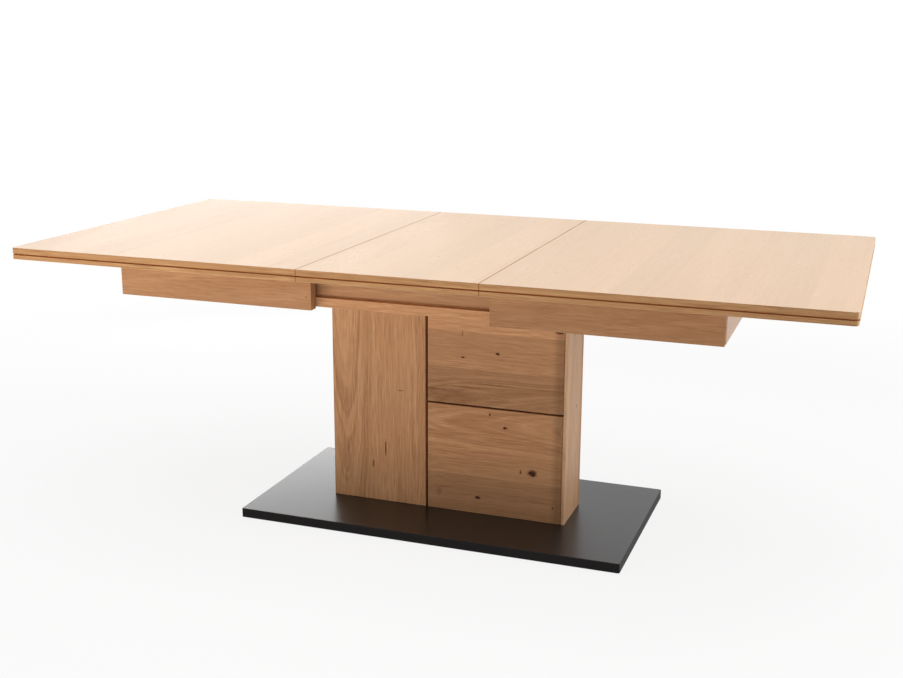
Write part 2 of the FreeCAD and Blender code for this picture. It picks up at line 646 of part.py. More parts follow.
# Halves: each carries its aprons, glue blocks, battens, two slide bars that run in the tracks, and a rack.
BLOCK_TURN = {"left_front": 0, "left_rear": -90, "right_front": 90, "right_rear": 180}
BATTEN_START = {"inner": f"({SEAM} + inner_batten_inset)",
                "outer": f"({END_APRON_INSIDE} - outer_batten_gap - batten_width)"}
BAR_LENGTH = f"({APRON_LENGTH} - apron_thickness - corner_block_leg - slide_bar_margin)"
BAR_MOUTH = f"({TRACK_BACK} + track_wall + slide_clearance)"
BAR_FOOT = f"({TRACK_FOOT} + track_wall + slide_clearance)"
BAR_HEAD = f"({TRACK_HEAD} - track_wall - slide_clearance)"
for end, x_way in SIDES.items():
    tabletop(end, span(x_way, SEAM, "half_length"), span(x_way, SEAM, "half_length - shadow_depth"),
             [x_way * size(f"{SEAM} + half_length")], [x_way * size(SEAM)])
    for face, y_way in FACES.items():
        apron = block(f"{end}_{face}_apron_blank", span(x_way, SEAM, APRON_LENGTH),
                      span(y_way, APRON_BACK, "apron_thickness"), (APRON_FOOT, "apron_height"))
        keep(f"{end}_{face}_apron", rounded(f"{end}_{face}_apron", apron, "apron_arris",
                                            level_at(size(APRON_FOOT))))
    end_apron = block(f"{end}_end_apron_blank", span(x_way, END_APRON_INSIDE, "apron_thickness"),
                      centred(f"(2 * {APRON_BACK})"), (APRON_FOOT, "apron_height"))
    keep(f"{end}_end_apron", end_apron)
    glue_blocks = []
    for corner, corner_x_way, y_way in corners:
        if corner_x_way != x_way:
            continue
        wedge = doc.addObject("Part::Wedge", f"glue_block_{corner}")
        for edge in ("Xmin", "Ymin", "Zmin", "X2min", "Z2min", "X2max"):
            setattr(wedge, edge, 0)
        for edge in ("Xmax", "Ymax"):
            wedge.setExpression(edge, formula("corner_block_leg"))
        for edge in ("Zmax", "Z2max"):
            wedge.setExpression(edge, formula("apron_height - corner_block_lift"))
        wedge.Placement.Rotation = FreeCAD.Rotation(FreeCAD.Vector(0, 0, 1), BLOCK_TURN[corner])
        move(wedge, f"{x_way} * {END_APRON_INSIDE}", f"{y_way} * {APRON_BACK}",
             f"{APRON_FOOT} + corner_block_lift")
        glue_blocks.append(wedge)
    keep(f"{end}_corner_blocks", group(f"{end}_corner_blocks", glue_blocks))
    for place in ("inner", "outer"):
        batten(f"{end}_{place}_batten", span(x_way, BATTEN_START[place], "batten_width"))
    for face, y_way in FACES.items():
        name = f"{end}_{face}_slide_bar"
        section = channel(y_way, APRON_BACK, BAR_MOUTH, -1, BAR_FOOT, BAR_HEAD, "slide_bar_wall")
        keep(name, profile_bar(name, section, *span(x_way, SEAM, BAR_LENGTH)))
    rack = doc.addObject("Part::Feature", f"{end}_rack_shape")
    rack.Shape = rack_shape()
    half_round = FreeCAD.Rotation(FreeCAD.Vector(0, 0, 1), 0 if end == "left" else 180)
    rack.Placement = FreeCAD.Placement(FreeCAD.Vector(), half_round).multiply(rack.Placement)
    keep(f"{end}_rack", rack)

# Every object must have worked before anything is written.
doc.recompute()
for thing in doc.Objects:
    if "Invalid" in thing.State or "Error" in thing.State:
        raise RuntimeError(f"{thing.Label} failed: {thing.State}")
for piece in pieces:
    if piece.Shape.isNull() or not piece.Shape.isValid() or not piece.Shape.Solids:
        raise RuntimeError(f"{piece.Label} has no sound shape")
os.makedirs("parts", exist_ok=True)
for piece in pieces:
    piece.Shape.exportStep(f"parts/{piece.Label}.step")
    print(f"{piece.Label}: {len(piece.Shape.Solids)} solid(s), {piece.Shape.Volume / 1000:.1f} cm3")
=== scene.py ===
import math

import bpy
from mathutils import Matrix, Vector


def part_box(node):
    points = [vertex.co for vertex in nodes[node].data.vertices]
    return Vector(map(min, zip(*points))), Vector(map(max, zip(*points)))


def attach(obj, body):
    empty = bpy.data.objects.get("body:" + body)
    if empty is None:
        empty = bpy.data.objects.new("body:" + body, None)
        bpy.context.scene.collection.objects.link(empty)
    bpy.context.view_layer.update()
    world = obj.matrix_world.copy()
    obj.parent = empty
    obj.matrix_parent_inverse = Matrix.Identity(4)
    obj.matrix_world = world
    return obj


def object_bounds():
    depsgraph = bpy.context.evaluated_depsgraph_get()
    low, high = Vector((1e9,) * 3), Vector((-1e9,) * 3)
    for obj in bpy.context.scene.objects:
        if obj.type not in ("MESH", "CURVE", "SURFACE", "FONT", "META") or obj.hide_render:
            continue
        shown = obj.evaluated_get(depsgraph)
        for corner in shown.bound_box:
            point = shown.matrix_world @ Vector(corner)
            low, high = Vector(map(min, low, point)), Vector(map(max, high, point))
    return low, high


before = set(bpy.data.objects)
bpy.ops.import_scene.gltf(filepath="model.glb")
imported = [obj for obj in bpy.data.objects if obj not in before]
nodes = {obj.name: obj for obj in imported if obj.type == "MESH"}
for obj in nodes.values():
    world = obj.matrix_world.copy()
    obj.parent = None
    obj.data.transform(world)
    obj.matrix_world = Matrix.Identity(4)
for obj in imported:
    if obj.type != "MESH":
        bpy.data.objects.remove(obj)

# The table as it was built: every board, bar and bolt already stands in its place.
# The box round those pieces is kept; the top's size and the floor's height are read from it.
built_low, built_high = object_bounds()


# Base plate: one thick slab of fibreboard, sprayed with matt anthracite lacquer and clear-coated on top.
# It stands on four hard plastic glides and is bolted to the column from below.
class Paint:
    """One output of a shader node, with arithmetic that adds Math nodes to the same material."""

    def __init__(self, socket):
        self.socket = socket

    def node(self, kind, settings=None, sockets=None, output=0):
        """Add a node of any kind: its settings first, then the values or links of its sockets."""
        tree = self.socket.id_data
        made = tree.nodes.new(kind)
        for name, value in (settings or {}).items():
            setattr(made, name, value)
        for name, value in (sockets or {}).items():
            if isinstance(value, Paint):
                tree.links.new(value.socket, made.inputs[name])
            else:
                made.inputs[name].default_value = value
        return Paint(made.outputs[output])

    def output(self, number):
        return Paint(self.socket.node.outputs[number])

    def math(self, operation, *others):
        return self.node("ShaderNodeMath", {"operation": operation}, dict(enumerate((self, *others))))

    def __add__(self, other):
        return self.math("ADD", other)

    def __sub__(self, other):
        return self.math("SUBTRACT", other)

    def __rsub__(self, other):
        return self.node("ShaderNodeMath", {"operation": "SUBTRACT"}, {0: other, 1: self})

    def __mul__(self, other):
        return self.math("MULTIPLY", other)

    def __gt__(self, other):
        return self.math("GREATER_THAN", other)

    def __abs__(self):
        return self.math("ABSOLUTE")

    __radd__ = __add__
    __rmul__ = __mul__


def new_finish(name):
    """A material with its shader and the place of a point on the piece, in metres."""
    material = bpy.data.materials.new(name)
    material.use_nodes = True
    shader = material.node_tree.nodes["Principled BSDF"]
    place = material.node_tree.nodes.new("ShaderNodeTexCoord")
    return material, shader, Paint(place.outputs["Object"])


def feed(shader, sockets):
    """Set or link the sockets of a finish's shader."""
    for name, value in sockets.items():
        if isinstance(value, Paint):
            shader.id_data.links.new(value.socket, shader.inputs[name])
        else:
            shader.inputs[name].default_value = value


def dress(material, *names):
    """Give a finish to pieces that are already in their place."""
    for name in names:
        for slot in nodes[name].material_slots:
            slot.material = material


def axes(place):
    """The three numbers of a place or a direction."""
    x = place.node("ShaderNodeSeparateXYZ", None, {0: place})
    return x, x.output(1), x.output(2)


def noise(place, scale=1.0, detail=2.0, roughness=0.5):
    """Cloudy pattern between 0 and 1, about a half on average."""
    return place.node("ShaderNodeTexNoise", None, {"Vector": place, "Scale": scale, "Detail": detail,
                                                   "Roughness": roughness})


def ramp(value, low, high, start=0.0, end=1.0):
    """Smooth step of a value from low to high."""
    return value.node("ShaderNodeMapRange", {"interpolation_type": "SMOOTHSTEP"},
                      {"Value": value, "From Min": low, "From Max": high, "To Min": start, "To Max": end})


def mix(amount, first, second):
    """Blend of two colours."""
    return amount.node("ShaderNodeMix", {"data_type": "RGBA"}, {0: amount, 6: first, 7: second}, output=2)


def bump(height, strength, distance):
    """Fine relief on a surface, with its depth in metres."""
    return height.node("ShaderNodeBump", None, {"Height": height, "Strength": strength, "Distance": distance})


ANTHRACITE = (0.0095, 0.0080, 0.0078, 1.0)
ANTHRACITE_WORN = (0.0150, 0.0135, 0.0135, 1.0)
PEEL_DEPTH = 0.0001
CLEAR_COAT_ROUGHNESS = 0.27

lacquer, shader, place = new_finish("anthracite_lacquer")
orange_peel = noise(place, 90.0)
cloud = noise(place, 4.0, 3.0)
scuffs = ramp(noise(place, 14.0), 0.50, 0.80)
faces_up = ramp(axes(place.output(1))[2], 0.5, 0.9)
feed(shader, {
    "Base Color": mix(0.3 * scuffs + 0.4 * cloud, ANTHRACITE, ANTHRACITE_WORN),
    "Roughness": 0.50 + 0.08 * cloud + 0.04 * scuffs,
    "Specular IOR Level": 0.12,
    "Coat Weight": faces_up * (0.80 + 0.08 * cloud),
    "Coat Roughness": CLEAR_COAT_ROUGHNESS,
    "Normal": bump(orange_peel, 0.01, PEEL_DEPTH),
})
dress(lacquer, "base_plate")

GLIDE_BLACK = (0.012, 0.012, 0.012, 1.0)
GLIDE_SCUFFED = (0.045, 0.045, 0.045, 1.0)

glide_plastic, shader, place = new_finish("glide_plastic")
scuff = ramp(noise(place, 300.0, 4.0), 0.5, 0.7)
feed(shader, {
    "Base Color": mix(scuff, GLIDE_BLACK, GLIDE_SCUFFED),
    "Roughness": 0.45 + 0.2 * scuff,
    "Normal": bump(scuff, 0.2, 0.0004),
})
dress(glide_plastic, "base_glides")


# Column: a box of dark-stained boards with solid end blocks, clad in knotty oak glued up from staves.
# A dark gap parts the upright panel from the two level ones; the side boards lap one edge each.
def vector(x, y, z):
    """A place made of three numbers, of which one at least varies over the piece."""
    started = next(part for part in (x, y, z) if isinstance(part, Paint))
    return started.node("ShaderNodeCombineXYZ", None, {0: x, 1: y, 2: z})


def shaded(colour, factor):
    """A colour made darker or lighter by a number that varies over the piece."""
    return factor.node("ShaderNodeVectorMath", {"operation": "SCALE"}, {0: colour, "Scale": factor})


STAIN = (0.260, 0.092, 0.028, 1.0)
STAIN_PALE = (0.340, 0.130, 0.046, 1.0)

stained, shader, place = new_finish("dark_stained_board")
x, y, z = axes(place)
strand = noise(vector(160.0 * x, 160.0 * y, 9.0 * z), detail=3.0)
feed(shader, {
    "Base Color": mix(ramp(strand, 0.4, 0.7), STAIN, STAIN_PALE),
    "Roughness": 0.75 + 0.15 * strand,
    "Normal": bump(strand, 0.3, 0.0004),
})
dress(stained, "column_core", "core_foot_block", "core_head_block")

OAK_PALE = (0.566, 0.302, 0.150, 1.0)
OAK_DEEP = (0.314, 0.141, 0.061, 1.0)
OAK_KNOT = (0.034, 0.009, 0.002, 1.0)
OAK_KNOT_RING = (0.170, 0.060, 0.020, 1.0)
# How fine each part of the grain is, in counts to a metre across the fibres, and then along them.
YEAR_RINGS = 210.0, 1.2
RING_BANDS = 45.0, 1.0
FIBRES = 230.0, 13.0
FIBRE_BUNDLES = 24.0, 3.0
HAIR_LINES = 700.0, 34.0
PORES = 900.0, 28.0
GRAIN_DEPTH = 0.0005
# Painted shade on a level panel towards its rounded end, and painted highlight in the crevice after it.
PAINTED_SHADE_TONE = 0.68
PAINTED_HIGHLIGHT_TONE = 1.7


def steps(value, levels):
    """Number that changes at each of a list of places: pairs of a place and the number from there on."""
    result = levels[0][1]
    for (_, before), (edge, after) in zip(levels, levels[1:]):
        result = (value > edge) * (after - before) + result
    return result


def oak(name, pick, staves, marks=(), pale=OAK_PALE, deep=OAK_DEEP, sheen=0.46, gloss=0.14, figure=1.0,
        wander=0.020, taper=0.055, relief=0.20, speckle=0.18, seed=0.0, lipping=None, edge_shade_and_highlight=None):
    """Oak with its fibres along one axis: staves side by side, year rings, fibres, pores and knots.

    pick chooses along, across and depth from x, y, z. Staves are an edge, a tone, and the place across
    of the tree's heart, near which the rings stand in arches. Marks are dark places: along, across, half
    their length, half their width, and how dark they are. A lipping has the colours, tone, figure and
    dark lines of front and rear edges whose fibres run along the table. The last argument gives a span of
    painted shade towards a panel's rounded end, then a span of painted highlight in the crevice after it.
    """
    material, shader, place = new_finish(name)
    x, y, z = axes(place)
    along, across, depth = pick(x, y, z)
    tone = steps(across, [(edge, tone) for edge, tone, _ in staves])
    heart = steps(across, [(edge, heart) for edge, _, heart in staves])
    own = steps(across, [(edge, seed + 3.7 * number) for number, (edge, _, _) in enumerate(staves)])
    if lipping:
        facing = axes(place.output(1))
        edge = ramp(abs(facing[1]), 0.6, 0.8)
        sawn = ramp(abs(facing[2]), 0.5, 0.8, 1.0, 0.0)
        along = along + edge * (x - along)
        across = across + edge * (z - across)
        depth = depth + edge * (y - depth)
        tone = tone + edge * (lipping["tone"] - tone)
        heart = heart + edge * (lipping["heart"] - heart)
        pale = mix(edge, pale, lipping["pale"])
        deep = mix(edge, deep, lipping["deep"])
        figure = figure + edge * (lipping["figure"] - figure)
        own = own + edge * (seed - own)
    rim = 0.0
    core = 0.0
    swerve = 0.0
    ragged = 1.1 * noise(place, 240.0, 3.0) - 0.55
    for mark_along, mark_across, half_length, half_width, strength in marks:
        beside = (across - mark_across) * (1.0 / half_width)
        before = (along - mark_along) * (1.0 / half_length)
        away = (beside * beside + before * before).math("SQRT")
        rim = ramp(away + ragged, 0.6, 1.4, 0.75 * strength, 0.0).math("MAXIMUM", rim)
        core = ramp(away + ragged, 0.5, 0.9, max(0.0, 2.0 * strength - 1.0), 0.0).math("MAXIMUM", core)
        swerve = ramp(away, 0.5, 5.0, min(half_width, half_length), 0.0) * beside.math("SIGN") + swerve
    flow = across - 0.8 * swerve + wander * noise(vector(1.7 * along + own, 7.0 * across, 7.0 * depth))
    rise = depth + taper * along + wander * noise(vector(3.0 * along, 10.0 * across + own, 0.0))
    beside = flow - heart
    ring = (beside * beside + rise * rise).math("SQRT")
    fine, long = YEAR_RINGS
    years = ramp(noise(vector(fine * ring + own, long * along, own)), 0.34, 0.66)
    arches = ramp(abs(beside), 0.03, 0.10, 2.4, 0.6)
    fine, long = RING_BANDS
    bands = ramp(noise(vector(fine * ring + own, long * along, own)), 0.32, 0.70)
    fine, long = FIBRES
    fibres = ramp(noise(vector(long * along + own, fine * flow, fine * depth), detail=4.0, roughness=0.65),
                  0.32, 0.68)
    fine, long = HAIR_LINES
    hair = noise(vector(long * along + own, fine * across, fine * depth), detail=1.0)
    fine, long = PORES
    pores = ramp(noise(vector(long * along, fine * across, fine * depth), detail=1.0), 0.58, 0.70)
    fine, long = FIBRE_BUNDLES
    bundles = ramp(noise(vector(long * along + own, fine * flow + own, fine * depth)), 0.34, 0.66)
    grain = 0.40 + figure * (0.26 * arches * (years - 0.5) + 0.22 * (bands - 0.5)
                             + (0.16 + 0.50 * bundles) * (fibres - 0.5))
    lightness = tone * (1.0 + speckle * (1.1 * hair - 0.55 - pores))
    # Painted shade darkens the panel towards its rounded end, and a painted highlight lightens the crevice
    # after it.
    if edge_shade_and_highlight:
        painted_shade_span, painted_highlight_span = edge_shade_and_highlight
        lightness = (lightness * ramp(along, *painted_shade_span, 1.0, PAINTED_SHADE_TONE)
                     * ramp(along, *painted_highlight_span, 1.0, PAINTED_HIGHLIGHT_TONE))
    colour = shaded(mix(grain, pale, deep), lightness)
    if marks:
        colour = mix(core, mix(rim, colour, OAK_KNOT_RING), OAK_KNOT)
    if lipping:
        # The seam lines are mixed towards the stain: partly oil in the joint, partly painted shade of the gap.
        seam_and_shade, rebate = lipping["lines"](x, y, z)
        colour = mix(0.75 * seam_and_shade, mix(rebate, colour, lipping["rebate"]), STAIN)
        sheen = sheen + 0.7 * seam_and_shade.math("MAXIMUM", rebate) + 0.36 * sawn
    feed(shader, {
        "Base Color": colour,
        "Roughness": sheen + 0.10 * hair + 0.08 * grain,
        "Specular IOR Level": gloss,
        "Normal": bump(0.5 * hair + 0.3 * fibres - 0.7 * pores, relief, GRAIN_DEPTH),
    })
    return material


def upright(x, y, z):
    """Directions along, across and through the fibres of an upright board; others follow for other boards."""
    return z, x, y


def upright_side(x, y, z):
    return z, y, x


def level(x, y, z):
    return x, z, y


def upright_turned(x, y, z):
    return z, -1.0 * x, -1.0 * y


def level_turned(x, y, z):
    return -1.0 * x, z, -1.0 * y


narrow_oak = oak("upright_panel_oak", upright,
                 ((-1.0, 1.08, -0.290), (-0.2186, 1.14, -0.060), (-0.1439, 1.11, 0.05)),
                 ((0.354, -0.1325, 0.0014, 0.010, 0.75), (0.183, -0.1786, 0.026, 0.0024, 0.75),
                  (0.134, -0.2163, 0.012, 0.003, 0.7), (0.508, -0.1631, 0.040, 0.0018, 0.5)))
dress(narrow_oak, "front_narrow_panel")

rear_narrow_oak = oak("rear_upright_panel_oak", upright_turned,
                      ((-1.0, 1.02, -0.16), (-0.2410, 0.96, -0.330), (-0.1320, 1.03, 0.10)),
                      ((0.472, -0.2050, 0.010, 0.006, 0.95), (0.221, -0.0980, 0.006, 0.003, 0.8),
                       (0.120, -0.2800, 0.030, 0.0022, 0.6)), figure=1.1, seed=41.0)
dress(rear_narrow_oak, "rear_narrow_panel")

# Spans along the level panels: painted shade towards the rounded end, then painted highlight in the crevice.
PANEL_SHADE_AND_HIGHLIGHT = (0.290, 0.316), (0.321, 0.327)
# The dark mark at 0.311 along and 0.556 across is a painted shadow under the apron, not a knot.
upper_oak = oak("upper_panel_oak", level,
                ((-1.0, 0.84, 0.36), (0.4345, 1.00, 0.75), (0.536, 1.24, 0.90)),
                ((0.144, 0.4835, 0.006, 0.004, 0.95), (0.047, 0.4655, 0.006, 0.003, 0.85),
                 (0.0451, 0.5306, 0.002, 0.008, 0.6), (0.311, 0.556, 0.012, 0.005, 0.85),
                 (0.010, 0.356, 0.090, 0.020, 0.5), (-0.030, 0.371, 0.060, 0.0024, 0.62),
                 (0.058, 0.3835, 0.055, 0.0022, 0.60), (0.135, 0.3965, 0.060, 0.0022, 0.60),
                 (0.225, 0.3950, 0.070, 0.0018, 0.50)), figure=0.8, seed=5.0, edge_shade_and_highlight=PANEL_SHADE_AND_HIGHLIGHT)
dress(upper_oak, "front_upper_panel")

rear_upper_oak = oak("rear_upper_panel_oak", level_turned,
                     ((-1.0, 0.96, 0.20), (0.4100, 0.86, 0.80), (0.5150, 1.08, 0.30)),
                     ((0.236, 0.4560, 0.009, 0.006, 0.95), (0.020, 0.5620, 0.005, 0.004, 0.85),
                      (0.118, 0.3680, 0.050, 0.0030, 0.5)), figure=0.7, seed=47.0, edge_shade_and_highlight=PANEL_SHADE_AND_HIGHLIGHT)
dress(rear_upper_oak, "rear_upper_panel")

lower_oak = oak("lower_panel_oak", level,
                ((-1.0, 0.86, -0.10), (0.1340, 1.07, -0.2), (0.1850, 1.12, 0.30)),
                ((0.1242, 0.3143, 0.003, 0.005, 0.85), (0.1667, 0.2811, 0.006, 0.004, 0.95),
                 (0.2449, 0.1626, 0.013, 0.010, 0.95), (0.2123, 0.1632, 0.003, 0.006, 0.75),
                 (0.0918, 0.0738, 0.008, 0.005, 0.95), (0.3032, 0.0713, 0.003, 0.003, 0.85),
                 (-0.0030, 0.0940, 0.022, 0.0025, 0.5), (-0.0200, 0.0780, 0.008, 0.012, 0.4)), figure=0.8,
                seed=9.0, edge_shade_and_highlight=PANEL_SHADE_AND_HIGHLIGHT)
dress(lower_oak, "front_lower_panel")

rear_lower_oak = oak("rear_lower_panel_oak", level_turned,
                     ((-1.0, 0.82, 0.40), (0.1120, 0.98, -0.25), (0.2240, 0.90, 0.60)),
                     ((0.064, 0.2660, 0.007, 0.005, 0.95), (0.258, 0.1430, 0.010, 0.007, 0.9),
                      (0.160, 0.0720, 0.004, 0.003, 0.85)), figure=0.7, seed=53.0, edge_shade_and_highlight=PANEL_SHADE_AND_HIGHLIGHT)
dress(rear_lower_oak, "rear_lower_panel")

SIDE_FACE = 0.0812
# Paler oak for the boards that face the table's ends: their own oak colour with a painted sheen.
SIDE_PALE_AND_SHEEN = (0.600, 0.375, 0.220, 1.0)
SIDE_DEEP_AND_SHEEN = (0.400, 0.215, 0.105, 1.0)
# The strips at the front and rear edges of each side board are painted lighter, a painted highlight on the
# arris.
side_oak = oak("side_board_oak", upright_side,
               ((-1.0, 1.15, 0.40), (-SIDE_FACE, 1.02, 0.40), (0.02, 0.98, 0.40), (SIDE_FACE, 1.15, 0.40)),
               ((0.590, -0.0437, 0.020, 0.003, 0.75), (0.555, -0.0200, 0.022, 0.003, 0.7),
                (0.3315, 0.0212, 0.006, 0.003, 0.85)), pale=SIDE_PALE_AND_SHEEN, deep=SIDE_DEEP_AND_SHEEN, gloss=0.4, seed=13.0)
dress(side_oak, "left_side_board", "right_side_board")


# Frame on the column: a steel plate, two beech beams across it and two oak rails along it, held by angles.
# Each rail has a steel track under its upper lip; bolts go down through beam and plate into the column.
BEECH_PALE = (0.520, 0.340, 0.210, 1.0)
BEECH_DEEP = (0.390, 0.230, 0.130, 1.0)
ZINC = (0.46, 0.46, 0.47, 1.0)
ZINC_DULL = (0.26, 0.26, 0.27, 1.0)

zinc, shader, place = new_finish("zinc_plated_steel")
spangle = noise(place, 140.0, 3.0)
stain = ramp(noise(place, 22.0, 4.0), 0.45, 0.75)
feed(shader, {
    "Base Color": mix(0.5 * spangle + 0.5 * stain, ZINC, ZINC_DULL),
    "Metallic": 1.0,
    "Roughness": 0.32 + 0.18 * spangle + 0.12 * stain,
    "Normal": bump(spangle, 0.08, 0.0004),
})
dress(zinc, "head_plate", "rail_brackets", "front_track", "rear_track", "pinion_bracket", "pinion_axle",
      "axle_clip", "base_bolts", "beam_bolts")


def crosswise(x, y, z):
    return y, x, z


beech = oak("plain_beech", crosswise, ((-2.0, 1.0, -0.6), (0.0, 0.97, 0.6)), pale=BEECH_PALE, deep=BEECH_DEEP,
            figure=0.5, seed=17.0)
dress(beech, "left_cross_beam", "right_cross_beam")

RECESS_LEDGE = 0.6695
RECESS_BACK = 0.6735
RECESS_HEAD = 0.725
# Tones by height: the recess ledge is painted lighter, a painted highlight in its shade, and the recess face
# darker, a painted shade.
rail_oak = oak("rail_oak", level,
               ((-1.0, 1.02, 0.50), (RECESS_LEDGE, 1.34, 0.50), (RECESS_BACK, 0.86, 0.50),
                (RECESS_HEAD, 1.0, 0.50)), figure=0.8, wander=0.008, seed=21.0)
dress(rail_oak, "front_rail", "rear_rail")


# Screws: pan-head wood screws with a cross recess, zinc plated, driven through angles, strips and battens.
# One is turned from a short bar, its rim rounded and its cross sunk; all the others are copies of it.
SCREW_HEAD = 0.0037
SCREW_HEIGHT = 0.0024
SCREW_RIM = 0.0014
CROSS_LENGTH = 0.0042
CROSS_WIDTH = 0.0009
CROSS_DEPTH = 0.0013

bpy.ops.object.select_all(action="DESELECT")
bpy.ops.mesh.primitive_cylinder_add(vertices=24, radius=SCREW_HEAD, depth=SCREW_HEIGHT,
                                    location=(0.0, 0.0, SCREW_HEIGHT / 2))
screw = bpy.context.object
screw.name = "screw"
bpy.ops.object.transform_apply(location=True, rotation=True, scale=True)
bpy.ops.object.mode_set(mode="EDIT")
bpy.ops.mesh.select_all(action="DESELECT")
bpy.ops.object.mode_set(mode="OBJECT")
for edge in screw.data.edges:
    edge.select = all(screw.data.vertices[end].co.z > SCREW_HEIGHT / 2 for end in edge.vertices)
bpy.ops.object.mode_set(mode="EDIT")
bpy.ops.mesh.select_mode(type="EDGE")
bpy.ops.mesh.bevel(offset=SCREW_RIM, segments=4, affect="EDGES")
bpy.ops.object.mode_set(mode="OBJECT")
bpy.ops.object.shade_smooth_by_angle(angle=math.radians(40.0))
for turn in (0.0, math.pi / 2):
    bpy.ops.object.select_all(action="DESELECT")
    bpy.ops.mesh.primitive_cube_add(size=1.0, location=(0.0, 0.0, SCREW_HEIGHT), rotation=(0.0, 0.0, turn),
                                    scale=(CROSS_LENGTH, CROSS_WIDTH, 2.0 * CROSS_DEPTH))
    punch = bpy.context.object
    bpy.context.view_layer.objects.active = screw
    recess = screw.modifiers.new("cross_recess", "BOOLEAN")
    recess.operation = "DIFFERENCE"
    recess.object = punch
    bpy.ops.object.modifier_apply(modifier=recess.name)
    bpy.data.objects.remove(punch)
screw.data.materials.clear()
screw.data.materials.append(zinc)


def drive_screws(name, body, places, way):
    """Copies of the screw at a list of places, with their heads turned one way, as one piece on a body."""
    turn = Vector(way).to_track_quat("Z", "Y").to_euler()
    copies = []
    for place in places:
        bpy.ops.object.select_all(action="DESELECT")
        screw.select_set(True)
        bpy.context.view_layer.objects.active = screw
        bpy.ops.object.duplicate()
        bpy.context.object.location = place
        bpy.context.object.rotation_euler = turn
        copies.append(bpy.context.object)
    for copy in copies:
        copy.select_set(True)
    bpy.ops.object.join()
    bpy.ops.object.transform_apply(location=True, rotation=True, scale=True)
    bpy.context.object.name = name
    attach(bpy.context.object, body)


BRACKET_WALL = 0.003
SCREW_PAIR = 0.012
ANGLE_SCREW_INSET = 0.014
RAIL_SCREW_RISE = 0.012
TRACK_WEB = 0.016
TRACK_SCREWS = (-0.15, 0.0, 0.15)
STRIP_SCREWS = (-0.009, 0.009)
UP = (0.0, 0.0, 1.0)
DOWN = (0.0, 0.0, -1.0)
beam_low, beam_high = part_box("right_cross_beam")
beam_middle = (beam_low.x + beam_high.x) / 2
tread = beam_high.z + BRACKET_WALL
ends_of_beams = [side * beam_middle + offset for side in (-1, 1) for offset in (-SCREW_PAIR, SCREW_PAIR)]
for face, side in (("front", -1), ("rear", 1)):
    flank = side * (beam_high.y - BRACKET_WALL)
    drive_screws(f"{face}_angle_screws", "pedestal",
                 [(x, side * (beam_high.y - ANGLE_SCREW_INSET), tread) for x in ends_of_beams], UP)
    drive_screws(f"{face}_rail_screws", "pedestal",
                 [(x, flank, tread + RAIL_SCREW_RISE) for x in ends_of_beams], (0.0, -side, 0.0))
    track_low, track_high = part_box(f"{face}_track")
    track_middle = (track_low.z + track_high.z) / 2
    drive_screws(f"{face}_track_screws", "pedestal",
                 [(x, side * (beam_high.y + TRACK_WEB), track_middle) for x in TRACK_SCREWS], (0.0, side, 0.0))
drive_screws("strip_screws", "pedestal",
             [(side * beam_middle, y, tread) for side in (-1, 1) for y in STRIP_SCREWS], UP)


# Synchroniser: a toothed wheel on a steel axle between two toothed bars, all moulded in black nylon.
# The wheel turns on the bracket over the beams, and each bar hangs from one half of the table.
NYLON = (0.020, 0.020, 0.022, 1.0)
NYLON_WORN = (0.060, 0.060, 0.062, 1.0)
RACK_SCREW_DEPTH = 0.005
RACK_SCREWS = (0.015, 0.045)

nylon, shader, place = new_finish("black_nylon")
mottle = noise(place, 220.0, 3.0)
rub = ramp(noise(place, 35.0, 4.0), 0.5, 0.8)
feed(shader, {
    "Base Color": mix(0.6 * rub + 0.2 * mottle, NYLON, NYLON_WORN),
    "Roughness": 0.38 + 0.15 * mottle,
    "Normal": bump(mottle, 0.12, 0.0003),
})
dress(nylon, "sync_pinion", "left_rack", "right_rack")
rack_low, rack_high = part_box("right_rack")
rack_back = rack_high.y - RACK_SCREW_DEPTH
for end, side in (("left", -1), ("right", 1)):
    drive_screws(f"{end}_rack_screws", f"{end}_half",
                 [(side * (rack_high.x - inset), side * rack_back, rack_low.z) for inset in RACK_SCREWS], DOWN)


# Aprons of the two halves: oak boards set back under the top, with glue blocks in the outer corners,
# beech battens under the boards, and steel slide bars on their backs that run in the tracks.
apron_oak = oak("apron_oak", level, ((-1.0, 0.80, 0.50), (0.90, 1.0, 0.9)),
                ((-0.2433, 0.6744, 0.002, 0.0025, 0.8),), figure=0.8, wander=0.008, seed=25.0)
dress(apron_oak, *(f"{end}_{face}_apron" for end in ("left", "right") for face in ("front", "rear")))


def level_end(x, y, z):
    return y, z, x


# The end aprons take the side boards' paler oak, with its painted sheen; the front and rear aprons don't.
end_apron_oak = oak("end_apron_oak", level_end, ((-1.0, 1.02, 0.50), (0.90, 1.0, 0.9)), pale=SIDE_PALE_AND_SHEEN,
                    deep=SIDE_DEEP_AND_SHEEN, sheen=0.28, gloss=0.5, figure=0.8, wander=0.008, seed=29.0)
dress(end_apron_oak, "left_end_apron", "right_end_apron")
dress(beech, "leaf_pegs", "left_corner_blocks", "right_corner_blocks")
dress(zinc, *(f"{end}_{face}_slide_bar" for end in ("left", "right") for face in ("front", "rear")))
BATTEN_SCREWS = (-0.85, -0.3, 0.3, 0.85)
for body, names in (("left_half", ("left_inner_batten", "left_outer_batten")),
                    ("right_half", ("right_inner_batten", "right_outer_batten")),
                    ("leaf", ("leaf_left_batten", "leaf_right_batten"))):
    dress(beech, *names)
    for name in names:
        low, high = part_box(name)
        drive_screws(f"{name}_screws", body,
                     [((low.x + high.x) / 2, share * high.y, low.z) for share in BATTEN_SCREWS], DOWN)
bpy.data.objects.remove(screw)


